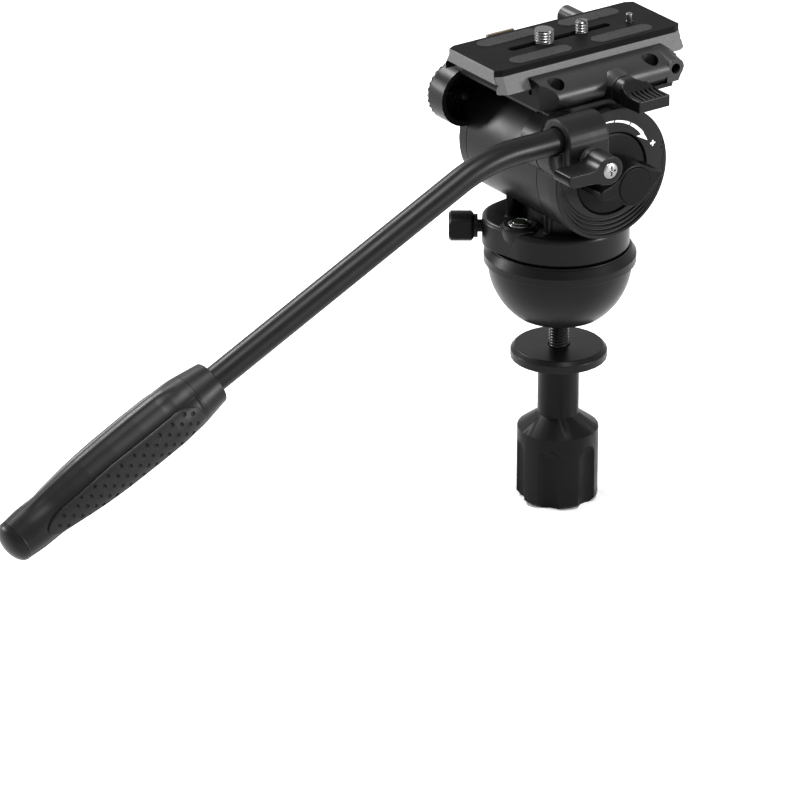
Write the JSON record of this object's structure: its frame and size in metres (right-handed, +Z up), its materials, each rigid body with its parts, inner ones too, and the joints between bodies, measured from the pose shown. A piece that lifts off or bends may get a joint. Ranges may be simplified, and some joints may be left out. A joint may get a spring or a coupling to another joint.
{
  "type": "fluid video head",
  "caption": "Fluid video head with a half ball base, pan and tilt drag, a sliding quick release camera plate and a rubber-gripped pan handle.",
  "frame": {"origin": "on the pan axis, level with the underside of the rim that sits in the tripod bowl", "axes": "+Z up along the pan axis, +Y forwards to the lens, +X to the operator's right, where the handle is"},
  "size_m": [0.1327, 0.4085, 0.2499],
  "materials": {
    "anodised": "satin black anodised",
    "sandblasted": "sandblasted dark grey anodised",
    "plastic": "satin black moulded plastic",
    "grip": "matt black rubber",
    "pad": "matt dark grey rubber",
    "chrome": "polished",
    "steel": "turned steel",
    "bronze": "plain bearing bronze",
    "catch": "dull brown",
    "level": "clear, with pale fluid"
  },
  "bodies": {
    "base": {"half_ball": "anodised", "tie_down_stud": "steel", "pan_spindle": "steel", "pan_nut": "steel", "pan_friction_ring": "bronze"},
    "cup": {"clamp_cup": "anodised"},
    "tie_down": {"tie_down_knob": "plastic"},
    "pan": {"pan_housing": "anodised", "pan_bush": "bronze", "drum_housing": "anodised", "level_vial": "level", "level_bezel": "anodised", "drum_cover": "anodised", "tilt_bush_left": "bronze", "tilt_bush_right": "bronze", "drag_disc_fixed": "steel"},
    "brake": {"pan_brake_shoe": "bronze"},
    "pan_lock": {"pan_lock_knob": "plastic"},
    "tilt": {"tilt_frame": "anodised", "left_side_plate": "anodised", "side_plate_screw_rear": "steel", "side_plate_screw_front": "steel", "axle_cover": "anodised", "tilt_axle": "steel", "drag_disc_turning": "steel", "counterbalance_spring": "steel", "dial_ring": "anodised", "rosette_insert": "steel", "clamp_body": "anodised", "clamp_screw_right_rear": "chrome", "clamp_screw_right_front": "chrome", "clamp_screw_left_rear": "chrome", "clamp_screw_left_front": "chrome"},
    "jaw": {"clamp_jaw": "steel"},
    "catch": {"safety_catch": "catch"},
    "plate_lever": {"plate_lock_lever": "plastic"},
    "drag": {"drag_dial": "anodised", "drag_wing_knob": "plastic", "drag_knob_cap": "plastic"},
    "plate": {"camera_plate": "sandblasted", "plate_pad_right_rear": "pad", "plate_pad_right_front": "pad", "plate_pad_left_rear": "pad", "plate_pad_left_front": "pad"},
    "rear_screw_slide": {"three_eighths_collar": "steel"},
    "rear_screw": {"three_eighths_screw": "chrome"},
    "front_screw_slide": {"quarter_inch_collar": "steel"},
    "front_screw": {"quarter_inch_screw": "chrome"},
    "pin": {"alignment_pin": "chrome"},
    "handle": {"handle_arm": "anodised", "handle_tube": "anodised", "handle_collar": "plastic", "handle_grip": "grip", "grip_panel_right": "grip", "grip_panel_left": "grip", "grip_end_cap": "plastic"},
    "handle_lock": {"handle_lock_lever": "plastic", "handle_lock_screw": "chrome", "handle_lock_washer": "steel", "handle_lock_bolt": "steel"}
  },
  "joints": [
    {"name": "pan_turn", "type": "hinge", "parent": "base", "child": "pan", "pos_m": [0, 0, 0], "axis": [0, 0, 1], "continuous": true},
    {"name": "tilt_swing", "type": "hinge", "parent": "pan", "child": "tilt", "pos_m": [0, 0, 0.0581], "axis": [1, 0, 0], "range_deg": [-90, 70]},
    {"name": "cup_slide", "type": "slide", "parent": "base", "child": "cup", "axis": [0, 0, -1], "range_m": [0, 0.003]},
    {"name": "tie_down_turn", "type": "hinge", "parent": "cup", "child": "tie_down", "pos_m": [0, 0, -0.09], "axis": [0, 0, -1], "range_deg": [0, 720]},
    {"name": "brake_slide", "type": "slide", "parent": "pan", "child": "brake", "axis": [-0.5751, -0.8181, 0], "range_m": [0, 0.0015]},
    {"name": "pan_lock_turn", "type": "hinge", "parent": "brake", "child": "pan_lock", "pos_m": [0, 0, 0.0171], "axis": [-0.5751, -0.8181, 0], "range_deg": [0, 540]},
    {"name": "drag_turn", "type": "hinge", "parent": "tilt", "child": "drag", "pos_m": [0, 0, 0.0581], "axis": [1, 0, 0], "range_deg": [-240, 0]},
    {"name": "plate_lever_turn", "type": "hinge", "parent": "tilt", "child": "plate_lever", "pos_m": [0, 0.0055, 0.1004], "axis": [1, 0, 0], "range_deg": [0, 110]},
    {"name": "jaw_slide", "type": "slide", "parent": "tilt", "child": "jaw", "axis": [1, 0, 0], "range_m": [0, 0.0015]},
    {"name": "catch_slide", "type": "slide", "parent": "tilt", "child": "catch", "axis": [0, 0, -1], "range_m": [0, 0.0025], "stiffness_N_per_m": 300, "springref_m": -0.001},
    {"name": "plate_slide", "type": "slide", "parent": "tilt", "child": "plate", "axis": [0, 1, 0], "range_m": [-0.03, 0.03]},
    {"name": "rear_screw_shift", "type": "slide", "parent": "plate", "child": "rear_screw_slide", "axis": [0, 1, 0], "range_m": [-0.0139, 0.0036]},
    {"name": "rear_screw_turn", "type": "hinge", "parent": "rear_screw_slide", "child": "rear_screw", "pos_m": [0, -0.0111, 0.11], "axis": [0, 0, 1], "continuous": true},
    {"name": "front_screw_shift", "type": "slide", "parent": "plate", "child": "front_screw_slide", "axis": [0, 1, 0], "range_m": [-0.0052, 0.0108]},
    {"name": "front_screw_turn", "type": "hinge", "parent": "front_screw_slide", "child": "front_screw", "pos_m": [0, 0.0112, 0.11], "axis": [0, 0, 1], "continuous": true},
    {"name": "pin_slide", "type": "slide", "parent": "plate", "child": "pin", "axis": [0, 0, -1], "range_m": [0, 0.0045], "stiffness_N_per_m": 300, "springref_m": -0.002},
    {"name": "handle_swing", "type": "hinge", "parent": "tilt", "child": "handle", "pos_m": [0, -0.0314, 0.0806], "axis": [1, 0, 0], "range_deg": [-55, 95]},
    {"name": "handle_lock_turn", "type": "hinge", "parent": "handle", "child": "handle_lock", "pos_m": [0, -0.0314, 0.0806], "axis": [1, 0, 0], "range_deg": [0, 360]}
  ],
  "couplings": [
    {"joint": "tie_down_turn", "follows": "cup_slide", "rad_per_m": 4188.8},
    {"joint": "pan_lock_turn", "follows": "brake_slide", "rad_per_m": 6283.2},
    {"joint": "plate_lever_turn", "follows": "jaw_slide", "rad_per_m": 1279.9}
  ]
}
